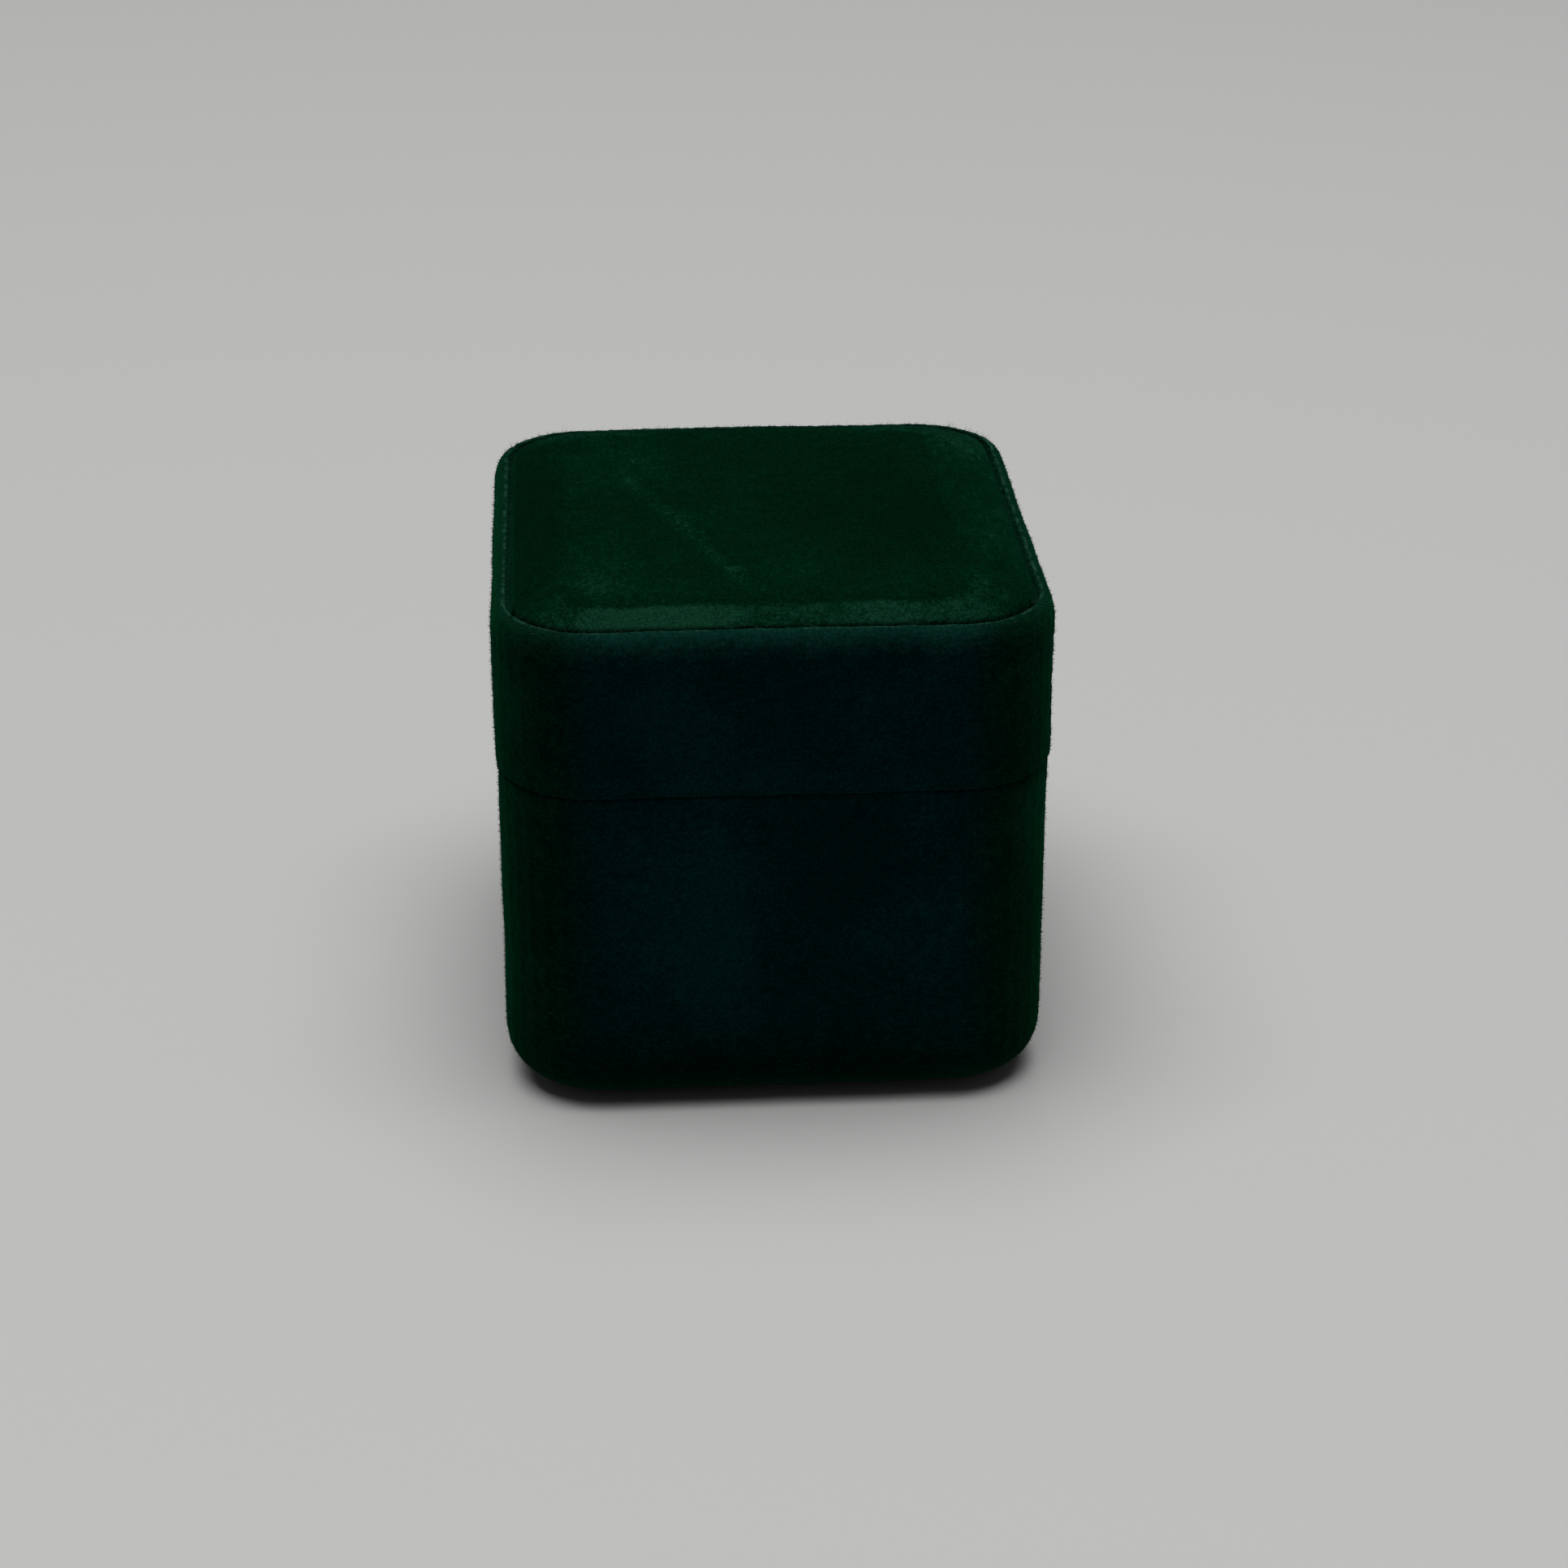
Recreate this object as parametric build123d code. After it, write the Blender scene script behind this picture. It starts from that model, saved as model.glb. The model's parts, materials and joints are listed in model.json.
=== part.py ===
from build123d import *
import os

# A hand-covered ring box: two board trays wrapped in velvet, padded panels above and
# below, a velvet collar that locates the lift-off lid, and a ring pad split by one slot.
# Millimetres, +Z up, origin at the middle of the underside, front towards -Y.

# Driving dimensions
width = 50.0
depth = 55.0
height = 48.5
corner_radius = 9.0
parting_height = 31.8
rim_gap = 0.1

# Sheet thicknesses
velvet = 0.8
wall_board = 1.6
neck_board = 1.2
panel_card = 0.6
panel_padding = 0.5
pad_card = 1.0
lid_lining = 0.6
satin = 0.3

# Steps inward from the outline of the lid, all the way round
base_step = 0.2
lid_board_inset = velvet
lid_board_inner = lid_board_inset + wall_board
lid_cavity_inset = lid_board_inner + lid_lining
base_board_inset = base_step + velvet
base_board_inner = base_board_inset + wall_board
neck_inset = base_board_inner + velvet
neck_board_inset = neck_inset + velvet
neck_board_inner = neck_board_inset + neck_board
neck_cavity_inset = neck_board_inner + velvet
top_panel_inset = 1.5
bottom_panel_inset = 3.2
turn_over_inset = 8.0

# Soft edges
top_shoulder_radius = 1.8
bottom_shoulder_radius = 3.0
rim_radius = 1.2
board_edge_radius = 1.0
top_panel_edge = 1.5
bottom_panel_edge = 0.6
padding_edge = 0.4

# Levels, from the underside up
panel_thickness = velvet + panel_padding + panel_card
bottom_shoulder_z = 0.7
base_underside_z = panel_thickness
floor_board_z = base_underside_z + velvet
floor_top_z = floor_board_z + wall_board
base_rim_z = parting_height - rim_gap / 2
lid_rim_z = parting_height + rim_gap / 2
lid_turn_in_z = lid_rim_z + 6.0
neck_rise = 6.4
neck_top_z = parting_height + neck_rise
neck_turn_in_z = neck_top_z - 14.0
top_shoulder_z = 47.1
lid_cover_z = height - panel_thickness
lid_board_top_z = lid_cover_z - velvet
lid_ceiling_z = lid_board_top_z - wall_board

# Ring pad: two foam blocks side by side on a card shelf
ring_pad_top_z = 33.0
ring_pad_thickness = 16.0
ring_slot = 0.6
ring_lip_radius = 3.0
ring_pad_edge = 1.0
fit_gap = 0.1
riser_gap = 0.2
ring_pad_inset = neck_cavity_inset + fit_gap
riser_inset = neck_board_inner + riser_gap
ring_pad_z = ring_pad_top_z - ring_pad_thickness
shelf_z = ring_pad_z - pad_card

# Satin pad under the lid's ceiling
lid_pad_inset = lid_cavity_inset + riser_gap
lid_pad_card = 0.8
lid_pad_foam = 1.6
lid_pad_edge = 1.2


def outline(inset):
    """Rounded rectangle of the lid's plan, moved inward all round."""
    return RectangleRounded(
        width - 2 * inset, depth - 2 * inset, corner_radius - inset
    )


def block(inset, bottom, top):
    """Solid of the inset plan between two levels."""
    return Pos(0, 0, bottom) * extrude(outline(inset), amount=top - bottom)


def tube(outer_inset, inner_inset, bottom, top):
    """Wall between two inset plans, between two levels."""
    return block(outer_inset, bottom, top) - block(inner_inset, bottom, top)


def edges_at(shape, level):
    """Edges that lie wholly at one level."""
    return shape.edges().filter_by_position(Axis.Z, level - 0.01, level + 0.01)


def soft_block(inset, bottom, top, bottom_radius=0, top_radius=0):
    """Solid of the inset plan with its lower and upper edges rounded."""
    solid = block(inset, bottom, top)
    if bottom_radius:
        solid = fillet(edges_at(solid, bottom), bottom_radius)
    if top_radius:
        solid = fillet(edges_at(solid, top), top_radius)
    return solid


def save(name, shape):
    """Write one sub-part under its own name."""
    shape.label = name
    export_step(shape, "parts/" + name + ".step")
    print(name, round(shape.volume, 1))


# ---- base ----

def base_wall():
    wall = soft_block(
        base_board_inset, floor_board_z, base_rim_z - velvet, bottom_radius=board_edge_radius
    )
    return wall - block(base_board_inner, floor_board_z, base_rim_z)


def base_velvet_band():
    """One strip: down the outside, over the rim to the inside, and under the floor."""
    band = soft_block(
        base_step, bottom_shoulder_z, base_rim_z, bottom_shoulder_radius, rim_radius
    )
    band -= soft_block(
        base_board_inset, floor_board_z, base_rim_z - velvet, bottom_radius=board_edge_radius
    )
    band -= block(neck_inset, floor_board_z, base_rim_z)
    band -= block(bottom_panel_inset, 0, base_underside_z)
    band -= block(turn_over_inset, 0, floor_board_z)
    return band + tube(base_board_inner, neck_inset, floor_top_z, base_rim_z - velvet)


def bottom_panel_velvet():
    panel = soft_block(
        bottom_panel_inset, 0, panel_thickness, bottom_radius=bottom_panel_edge
    )
    core = bottom_panel_padding() + bottom_panel_card()
    return panel - core


def bottom_panel_padding():
    return soft_block(
        bottom_panel_inset + velvet, velvet, velvet + panel_padding, bottom_radius=padding_edge
    )


def bottom_panel_card():
    return block(bottom_panel_inset + velvet, velvet + panel_padding, panel_thickness)


def neck_velvet():
    """Covers the collar outside, over its rim and down to the ring pad inside."""
    cover = soft_block(
        neck_inset, floor_top_z, neck_top_z, top_radius=velvet / 2
    )
    cover -= block(neck_board_inset, floor_top_z, neck_top_z - velvet)
    cover -= block(neck_cavity_inset, neck_top_z - velvet, neck_top_z)
    return cover + tube(
        neck_board_inner, neck_cavity_inset, neck_turn_in_z, neck_top_z - velvet
    )


def ring_pad_half(side, skin):
    """One half of the ring pad, as deep inside its cover as skin says."""
    top = ring_pad_top_z - skin
    near = ring_slot / 2 + skin
    half_depth = depth / 2 - near
    cutter = Pos(0, side * (near + half_depth / 2), 0) * Box(width, half_depth, 2 * height)
    half = block(ring_pad_inset + skin, ring_pad_z, top) & cutter
    upper = edges_at(half, top)
    lip = upper.sort_by(Axis.Y)[0 if side > 0 else -1]
    half = fillet(lip, ring_lip_radius - skin)
    rest = [
        edge for edge in edges_at(half, top)
        if abs(edge.center().Y) > ring_lip_radius + ring_slot
    ]
    return fillet(rest, ring_pad_edge - skin / 2)


# ---- lid ----

def lid_wall():
    wall = soft_block(
        lid_board_inset, lid_rim_z + velvet, lid_board_top_z, top_radius=board_edge_radius
    )
    return wall - block(lid_board_inner, lid_rim_z, lid_board_top_z)


def lid_velvet_band():
    """One strip: up the outside, under the rim to the inside, and over the top board."""
    band = soft_block(0, lid_rim_z, top_shoulder_z, rim_radius, top_shoulder_radius)
    band -= soft_block(
        lid_board_inset, lid_rim_z + velvet, lid_board_top_z, top_radius=board_edge_radius
    )
    band -= block(lid_cavity_inset, lid_rim_z, lid_board_top_z)
    band -= block(top_panel_inset, lid_cover_z, height)
    band -= block(turn_over_inset, lid_board_top_z, height)
    return band + tube(
        lid_board_inner, lid_cavity_inset, lid_rim_z + velvet, lid_turn_in_z
    )


def top_panel_card():
    return block(top_panel_inset + velvet, lid_cover_z, lid_cover_z + panel_card)


def top_panel_padding():
    return soft_block(
        top_panel_inset + velvet, lid_cover_z + panel_card, height - velvet,
        top_radius=padding_edge,
    )


def top_panel_velvet():
    panel = soft_block(top_panel_inset, lid_cover_z, height, top_radius=top_panel_edge)
    return panel - top_panel_card() - top_panel_padding()


def lid_pad_solids():
    """Card against the ceiling, foam under it and the satin drawn round both."""
    card_z = lid_ceiling_z - lid_pad_card
    foam_z = card_z - lid_pad_foam
    inner = lid_pad_inset + satin
    card = block(inner, card_z, lid_ceiling_z)
    foam = soft_block(inner, foam_z, card_z, bottom_radius=lid_pad_edge - satin)
    cover = soft_block(
        lid_pad_inset, foam_z - satin, lid_ceiling_z, bottom_radius=lid_pad_edge
    )
    return card, foam, cover - card - foam


os.makedirs("parts", exist_ok=True)

save("base_wall_board", base_wall())
save("base_floor_board", block(base_board_inner, floor_board_z, floor_top_z))
save("base_velvet_band", base_velvet_band())
save("bottom_panel_card", bottom_panel_card())
save("bottom_panel_padding", bottom_panel_padding())
save("bottom_panel_velvet", bottom_panel_velvet())
save("neck_board", tube(neck_board_inset, neck_board_inner, floor_top_z, neck_top_z - velvet))
save("neck_velvet", neck_velvet())
save("pad_riser_frame", tube(riser_inset, riser_inset + pad_card, floor_top_z, shelf_z))
save("ring_pad_shelf", block(riser_inset, shelf_z, ring_pad_z))
for half_name, half_side in (("front", -1), ("back", 1)):
    foam_half = ring_pad_half(half_side, velvet)
    save("ring_pad_foam_" + half_name, foam_half)
    save("ring_pad_velvet_" + half_name, ring_pad_half(half_side, 0) - foam_half)

save("lid_wall_board", lid_wall())
save("lid_top_board", block(lid_board_inner, lid_ceiling_z, lid_board_top_z))
save("lid_velvet_band", lid_velvet_band())
save("lid_side_lining", tube(lid_board_inner, lid_cavity_inset, lid_turn_in_z, lid_ceiling_z))
save("top_panel_card", top_panel_card())
save("top_panel_padding", top_panel_padding())
save("top_panel_velvet", top_panel_velvet())
pad_card_solid, pad_foam_solid, pad_satin_solid = lid_pad_solids()
save("lid_pad_card", pad_card_solid)
save("lid_pad_foam", pad_foam_solid)
save("lid_pad_satin", pad_satin_solid)
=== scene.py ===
import json
import math
import random
import bmesh
import bpy
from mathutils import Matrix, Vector


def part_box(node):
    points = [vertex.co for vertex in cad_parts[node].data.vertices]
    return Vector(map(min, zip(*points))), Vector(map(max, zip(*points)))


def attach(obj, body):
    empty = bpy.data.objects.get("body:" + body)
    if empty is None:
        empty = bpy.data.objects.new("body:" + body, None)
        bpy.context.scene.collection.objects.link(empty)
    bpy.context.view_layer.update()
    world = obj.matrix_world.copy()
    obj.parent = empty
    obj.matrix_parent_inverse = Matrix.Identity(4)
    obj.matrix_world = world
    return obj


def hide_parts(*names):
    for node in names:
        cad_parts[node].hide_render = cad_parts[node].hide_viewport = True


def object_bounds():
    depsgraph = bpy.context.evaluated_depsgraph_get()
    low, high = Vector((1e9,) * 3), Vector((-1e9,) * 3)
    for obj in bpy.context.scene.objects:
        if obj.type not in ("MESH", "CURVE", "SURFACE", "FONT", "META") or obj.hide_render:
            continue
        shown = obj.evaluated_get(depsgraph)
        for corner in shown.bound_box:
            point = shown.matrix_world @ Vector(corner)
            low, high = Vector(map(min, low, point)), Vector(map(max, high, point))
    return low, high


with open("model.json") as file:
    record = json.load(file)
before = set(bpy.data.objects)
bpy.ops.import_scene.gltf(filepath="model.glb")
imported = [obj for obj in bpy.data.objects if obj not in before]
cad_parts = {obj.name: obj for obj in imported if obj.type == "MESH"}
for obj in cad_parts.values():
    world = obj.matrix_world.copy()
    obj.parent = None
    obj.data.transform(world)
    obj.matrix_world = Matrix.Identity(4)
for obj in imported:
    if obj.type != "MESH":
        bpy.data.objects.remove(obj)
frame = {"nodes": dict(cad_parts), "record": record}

mm = 0.001
near = 0.01 * mm                # heights this close count as the same
cadBox = [list(corner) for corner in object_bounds()]


def putDown():
    # leaves edit mode with nothing selected
    if bpy.context.object and bpy.context.object.mode == 'EDIT':
        bpy.ops.object.mode_set(mode='OBJECT')
    bpy.ops.object.select_all(action='DESELECT')


def takeUp(piece, mode='OBJECT'):
    putDown()
    piece.select_set(True)
    bpy.context.view_layer.objects.active = piece
    bpy.ops.object.mode_set(mode=mode)


def pick(piece, kind, test):
    # selects the verts, edges or faces that pass the test, and returns how many
    bpy.context.tool_settings.mesh_select_mode = (kind == "verts", kind == "edges", kind == "faces")
    bpy.ops.mesh.select_all(action='DESELECT')
    mesh = bmesh.from_edit_mesh(piece.data)
    mesh.faces.ensure_lookup_table()
    chosen = [part for part in getattr(mesh, kind) if not part.hide and test(part)]
    for part in chosen:
        part.select_set(True)
    mesh.select_flush_mode()
    bmesh.update_edit_mesh(piece.data)
    return len(chosen)


def settle(piece):
    # place, turn and size go into the mesh
    takeUp(piece)
    bpy.ops.object.transform_apply(location=True, rotation=True, scale=True)


def applyModifier(piece, name, kind, **settings):
    takeUp(piece)
    modifier = piece.modifiers.new(name, kind)
    for key, value in settings.items():
        setattr(modifier, key, value)
    bpy.ops.object.modifier_apply(modifier=modifier.name)


def wallRing(name, low, high, radius, arcCuts, cell):
    # four walls with round corners, cut into even columns and rows, left open above and below
    putDown()
    size = high - low
    bpy.ops.mesh.primitive_cube_add(size=1, location=(low + high) / 2, scale=size)
    piece = bpy.context.object
    piece.name = name
    settle(piece)
    takeUp(piece, 'EDIT')
    pick(piece, "edges", lambda edge: abs(edge.verts[0].co.z - edge.verts[1].co.z) > size.z / 2)
    bpy.ops.mesh.bevel(offset=radius, offset_type='OFFSET', segments=arcCuts, profile=0.5,
                       affect='EDGES', clamp_overlap=False)
    pick(piece, "faces", lambda face: abs(face.normal.z) > 0.5)
    bpy.ops.mesh.delete(type='ONLY_FACE')
    for axis in range(3):
        length = size[axis] - (2 * radius if axis < 2 else 0)
        cuts = round(length / cell) - 1
        if cuts < 1:
            continue
        pick(piece, "edges", lambda edge: abs(edge.verts[0].co[axis] - edge.verts[1].co[axis])
             > 0.9 * length)
        bpy.ops.mesh.subdivide(number_cuts=cuts)
    return piece


def closeRing(piece):
    # a flat cap over each open end, and all faces outwards
    levels = (min(v.co.z for v in bmesh.from_edit_mesh(piece.data).verts),
              max(v.co.z for v in bmesh.from_edit_mesh(piece.data).verts))
    for level in levels:
        pick(piece, "edges", lambda edge: edge.is_boundary
             and all(abs(v.co.z - level) < near for v in edge.verts))
        bpy.ops.mesh.edge_face_add()
    bpy.ops.mesh.select_all(action='SELECT')
    bpy.ops.mesh.normals_make_consistent(inside=False)


def isCap(face):
    # the many-sided face over an open end, where every other face has four sides
    return len(face.verts) > 12


def trace(piece, upper, steps):
    # carries the upper or lower cap inward (first number) and up or down (second), step by step
    side = 1 if upper else -1
    pick(piece, "faces", lambda face: isCap(face) and face.normal.z * side > 0.5)
    for inward, rise in steps:
        if inward:
            bpy.ops.mesh.inset(thickness=inward, depth=0, use_even_offset=True)
        else:
            bpy.ops.mesh.extrude_region_move()
        bpy.ops.transform.translate(value=(0, 0, rise))


def quarterRound(inward, rise, cuts):
    # steps round a quarter ellipse, first along the wall and last along the flat
    steps = []
    for step in range(cuts):
        start = math.pi / 2 * step / cuts
        stop = math.pi / 2 * (step + 1) / cuts
        steps.append((inward * (math.cos(start) - math.cos(stop)),
                      rise * (math.sin(stop) - math.sin(start))))
    return steps


def turnIn(inward, drop, cuts):
    # the next quarter: first along the flat and last down the inside
    steps = []
    for step in range(cuts):
        start = math.pi / 2 * step / cuts
        stop = math.pi / 2 * (step + 1) / cuts
        steps.append((inward * (math.sin(stop) - math.sin(start)),
                      -drop * (math.cos(start) - math.cos(stop))))
    return steps


def openCaps(piece):
    # the caps go, so that the skin is open at both ends
    pick(piece, "faces", isCap)
    bpy.ops.mesh.delete(type='ONLY_FACE')


def thicken(piece, thickness):
    # gives the skin its inner side, which stays hidden while the outer side is worked on
    takeUp(piece)
    outerFaces = len(piece.data.polygons)
    applyModifier(piece, "thickness", 'SOLIDIFY', thickness=thickness, offset=-1)
    takeUp(piece, 'EDIT')
    pick(piece, "faces", lambda face: face.index >= outerFaces)
    bpy.ops.mesh.hide()


def refine(piece, longest, coarse):
    # cuts every longer edge in half, again and again, except on the faces that stay coarse
    if pick(piece, "faces", coarse):
        bpy.ops.mesh.hide()
    for turn in range(4):
        if not pick(piece, "edges", lambda edge: edge.calc_length() > longest):
            break
        bpy.ops.mesh.subdivide(number_cuts=1)
    bpy.context.tool_settings.mesh_select_mode = (True, False, False)
    bpy.ops.mesh.select_all(action='SELECT')
    bpy.ops.object.vertex_group_assign_new()
    piece.vertex_groups[-1].name = "skin"
    bpy.ops.mesh.reveal(select=False)
    putDown()


def ruffle(piece, name, size, height, group=""):
    # uneven surface: bumps of that size and height along the normals
    texture = bpy.data.textures.new(name, 'CLOUDS')
    texture.noise_scale = size
    texture.noise_depth = 1
    applyModifier(piece, name, 'DISPLACE', texture=texture, texture_coords='LOCAL', mid_level=0.5,
                  strength=height, vertex_group=group)


def smoothShade(piece):
    takeUp(piece)
    bpy.ops.object.shade_smooth()


def inset(low, high, step):
    # the same box, smaller on all four sides
    inward = Vector((step, step, 0))
    return low + inward, high - inward


def corners(node):
    # the lowest and highest corner of a CAD node
    low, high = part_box(node)
    return Vector(low), Vector(high)


class Wire:
    # one output; arithmetic on it adds Math nodes
    def __init__(self, paint, socket):
        self.paint = paint
        self.socket = socket

    def math(self, operation, *values):
        return self.paint.node("ShaderNodeMath", {"operation": operation}, dict(enumerate(values)))

    def __add__(self, other):
        return self.math("ADD", self, other)

    def __radd__(self, other):
        return self.math("ADD", other, self)

    def __sub__(self, other):
        return self.math("SUBTRACT", self, other)

    def __rsub__(self, other):
        return self.math("SUBTRACT", other, self)

    def __mul__(self, other):
        return self.math("MULTIPLY", self, other)

    def __rmul__(self, other):
        return self.math("MULTIPLY", other, self)

    def __pow__(self, other):
        return self.math("POWER", self, other)

    def __abs__(self):
        return self.math("ABSOLUTE", self)

    def atLeast(self, other):
        return self.math("MAXIMUM", self, other)

    def atMost(self, other):
        return self.math("MINIMUM", self, other)

    def between(self, low, high):
        # 0 below low, 1 above high, and a soft slope in between
        return self.paint.node("ShaderNodeMapRange", {"interpolation_type": 'SMOOTHSTEP'},
                               {"Value": self, "From Min": low, "From Max": high})


class Paint:
    def __init__(self, name):
        self.material = bpy.data.materials.new(name)
        self.material.use_nodes = True
        self.tree = self.material.node_tree
        self.tree.nodes.clear()
        self.coords = self.node("ShaderNodeTexCoord", {}, {}, "Object")
        self.inMm = self.vector("SCALE", self.coords, scale=1 / mm)
        parts = self.tree.nodes.new("ShaderNodeSeparateXYZ")
        self.tree.links.new(self.inMm.socket, parts.inputs[0])
        self.x, self.y, self.z = [Wire(self, socket) for socket in parts.outputs]

    def node(self, kind, settings, sockets, output=0):
        made = self.tree.nodes.new(kind)
        for key, value in settings.items():
            setattr(made, key, value)
        for key, value in sockets.items():
            if isinstance(value, Wire):
                self.tree.links.new(value.socket, made.inputs[key])
            else:
                made.inputs[key].default_value = value
        return Wire(self, made.outputs[output])

    def vector(self, operation, *values, scale=None):
        sockets = dict(enumerate(values))
        if scale is not None:
            sockets["Scale"] = scale
        return self.node("ShaderNodeVectorMath", {"operation": operation}, sockets)

    def mix(self, factor, first, second):
        # colours are (red, green, blue) or wires
        sockets = {0: factor}
        for index, colour in ((6, first), (7, second)):
            sockets[index] = colour if isinstance(colour, Wire) else (*colour, 1)
        return self.node("ShaderNodeMix", {"data_type": 'RGBA'}, sockets, 2)

    def scaled(self, colour, strength):
        # a colour made lighter or darker by a number
        return self.vector("SCALE", colour, scale=strength)

    def stretched(self, x, y, z):
        # the piece's millimetres, stretched along each axis
        return self.vector("MULTIPLY", self.inMm, (x, y, z))

    def noise(self, vector, scale, detail=2, rough=0.5, twist=0):
        return self.node("ShaderNodeTexNoise", {}, {
            "Vector": vector, "Scale": scale, "Detail": detail, "Roughness": rough,
            "Distortion": twist}, "Fac")

    def bump(self, height, strength, distance):
        return self.node("ShaderNodeBump", {}, {
            "Height": height, "Strength": strength, "Distance": distance}, "Normal")

    def surface(self, colour, roughness, normal=None, **constant):
        sockets = {"Base Color": colour if isinstance(colour, Wire) else (*colour, 1),
                   "Roughness": roughness}
        if normal:
            sockets["Normal"] = normal
        for key, value in constant.items():
            sockets[key.replace("_", " ")] = value
        return self.node("ShaderNodeBsdfPrincipled", {}, sockets)

    def done(self, surface):
        output = self.tree.nodes.new("ShaderNodeOutputMaterial")
        self.tree.links.new(surface.socket, output.inputs["Surface"])
        return self.material


topLook = {
    "deep": (0.0003, 0.0088, 0.0031),       # pile seen from its tips
    "mid": (0.0004, 0.0168, 0.0066),
    "open": (0.0066, 0.0460, 0.0235),       # pile brushed up
    # painted shade where the panel dips behind the fold
    "creaseShade": (0.0001, 0.0012, 0.0007),
    "level": 0.30,
    "cloud": 0.85,                          # how much each pattern lightens and darkens
    "strokes": 1.05,
    "tips": 0.5,
    "mottle": 0.7,
    "nap": 0.62,
    "rimNapAndHighlight": 0.7,
    "grain": (0.60, 0.80),                  # brightness between the tips, and what they add
    "seam": (46.95, 47.35),                 # painted shade below this, where the panel dips behind the fold of the lid
    "sheen": 0.16,
    "tint": (0.010, 0.42, 0.15, 1),
    "sheenRoughness": 0.5,
}
sideLook = {
    "flatReflectDeep": (0.0002, 0.0060, 0.0088),   # painted reflection: the flat upright sides are coloured bluer, as pile seen head-on reflects
    "flatReflectMid": (0.0004, 0.0155, 0.0178),
    "roundSheenDeep": (0.0003, 0.0036, 0.0024),  # painted sheen: greener where they bend, as pile seen at a grazing angle shines
    "roundSheenOpen": (0.0008, 0.0155, 0.0082),
    # painted highlight colours for the shoulder, the second where it bends
    "shoulder": (0.0050, 0.0430, 0.0300),
    "shoulderRoundHighlight": (0.0022, 0.0300, 0.0120),
    "cutEdge": (0.0200, 0.0780, 0.0480),
    # painted shade in the crease behind the cut edge
    "creaseShade": (0.0001, 0.0012, 0.0007),
    "level": 0.20,
    "cloud": 0.9,
    "strokes": 1.1,
    "tips": 0.5,
    "mottle": 1.0,
    "nap": 0.75,
    "grain": (0.62, 0.76),
    "sheenBendX": (8.8, 3.6),                    # where the painted sheen on a corner starts, and over how far
    "sheenBendY": (8.6, 3.2),
    # painted sheen over the left and right sides
    "side": (2.5, 2.0),
    "foot": (3.0, 10.0),                    # painted shade and sheen: darker and greener toward the lower edge
    "rise": (44.4, 47.8),                   # painted highlight: lighter up the shoulder
    "fold": (46.4, 46.8),                   # above this, the fold under the top panel
    "cut": (0.9, 1.15, 1.25, 1.4),          # inward: the cut edge starts, is full, ends, is gone
    "behindCut": (1.25, 1.45),
    "backSeam": (0.05, 0.3),                # half its width, and where its side ends
    "backFrom": (20, 21),
    "sheen": 0.14,
    "tint": (0.012, 0.42, 0.13, 1),
    "sheenRoughness": 0.5,
}

# lighter (+) and darker (-) patches of the pile: place, reach and strength, in mm
topNap = [
    (-12.5, 12, 48, 6.5, 12, 8, 0.28), (-14.5, -14, 48, 3.6, 9, 8, 0.34),
    (9, 2, 48, 11, 19, 8, -0.40), (15, -8, 48, 4, 13, 8, -0.30),
    (2, -16, 48, 5, 6, 8, 0.22), (-12, -19, 48, 6, 4, 8, 0.25),
]
# painted highlight and lighter opened pile on the sloping rim, outside the card's edge
rimNapAndHighlight = [
    (-9.5, -24.8, 48, 8.5, 5, 8, 1.35), (3, -24.4, 48, 10, 6, 8, 0.60),
    (14, -23.8, 48, 8, 6, 8, 0.75), (-19, -24, 48, 7, 5, 8, 0.45),
    (21.5, 3, 48, 7, 26, 8, 0.28), (18.5, 21, 48, 10, 8, 8, 0.55),
    (-17, 24, 48, 9, 6, 8, 0.50), (-22.5, -1, 48, 5, 24, 8, -0.60),
]
cardEdge = {
    "low": Vector((-18.2, -22.9, 0)) * mm,
    "high": Vector((17.2, 20.6, 0)) * mm,
    "radius": 2.5 * mm,
}
innerNap = [
    (-8, -10, 33, 12, 7, 6, 0.75), (9, 11, 33, 11, 7, 6, 0.80), (12, -13, 33, 6, 5, 6, 0.45),
    (-13, 9, 33, 6, 6, 6, 0.40),
]
# the last patch is painted light: a thin lighter band across the front at the parting line, lifting
# the shade in the gap
sideNap = [
    (-9, -27.5, 39, 5.5, 9, 6.5, 0.40), (-8, -27.5, 22, 8, 9, 11, 0.66),
    (-5, -27.5, 12, 5, 9, 6, 0.40), (12, -27.5, 17, 6.5, 9, 6, 0.34),
    (6, -27.5, 25, 6.5, 9, 7, -0.45), (8, -27.5, 39, 6, 9, 5, 0.14),
    (23, -22, 27, 3, 6, 5, 0.60), (-23.5, -22, 39, 3, 6, 4, 0.38),
    (-25, 4, 20, 9, 9, 10, 0.40), (25, -4, 37, 9, 10, 6, 0.40),
    (25, 9, 15, 9, 8, 8, 0.30), (4, 27.5, 22, 9, 9, 10, 0.45),
    (-9, 27.5, 38, 7, 9, 5, 0.35), (0, -27.5, 33.2, 19, 9, 1.6, 0.26),
]
creaseWay = {
    "from": (-13.5, 11.8),
    "to": (-1.4, -21.8),
    "width": 0.8,
    "strength": 0.52,
}


def napPatches(paint, patches, cloud):
    # adds up the soft patches, each with its edge broken by the cloud
    total = 0
    for x, y, z, reachX, reachY, reachZ, strength in patches:
        away = paint.vector("SUBTRACT", paint.inMm, (x, y, z))
        away = paint.vector("MULTIPLY", away, (1 / reachX, 1 / reachY, 1 / reachZ))
        length = paint.node("ShaderNodeVectorMath", {"operation": 'LENGTH'}, {0: away}, "Value")
        total = (0.9 - length + cloud * 0.5).between(0, 0.75) * strength + total
    return total


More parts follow.
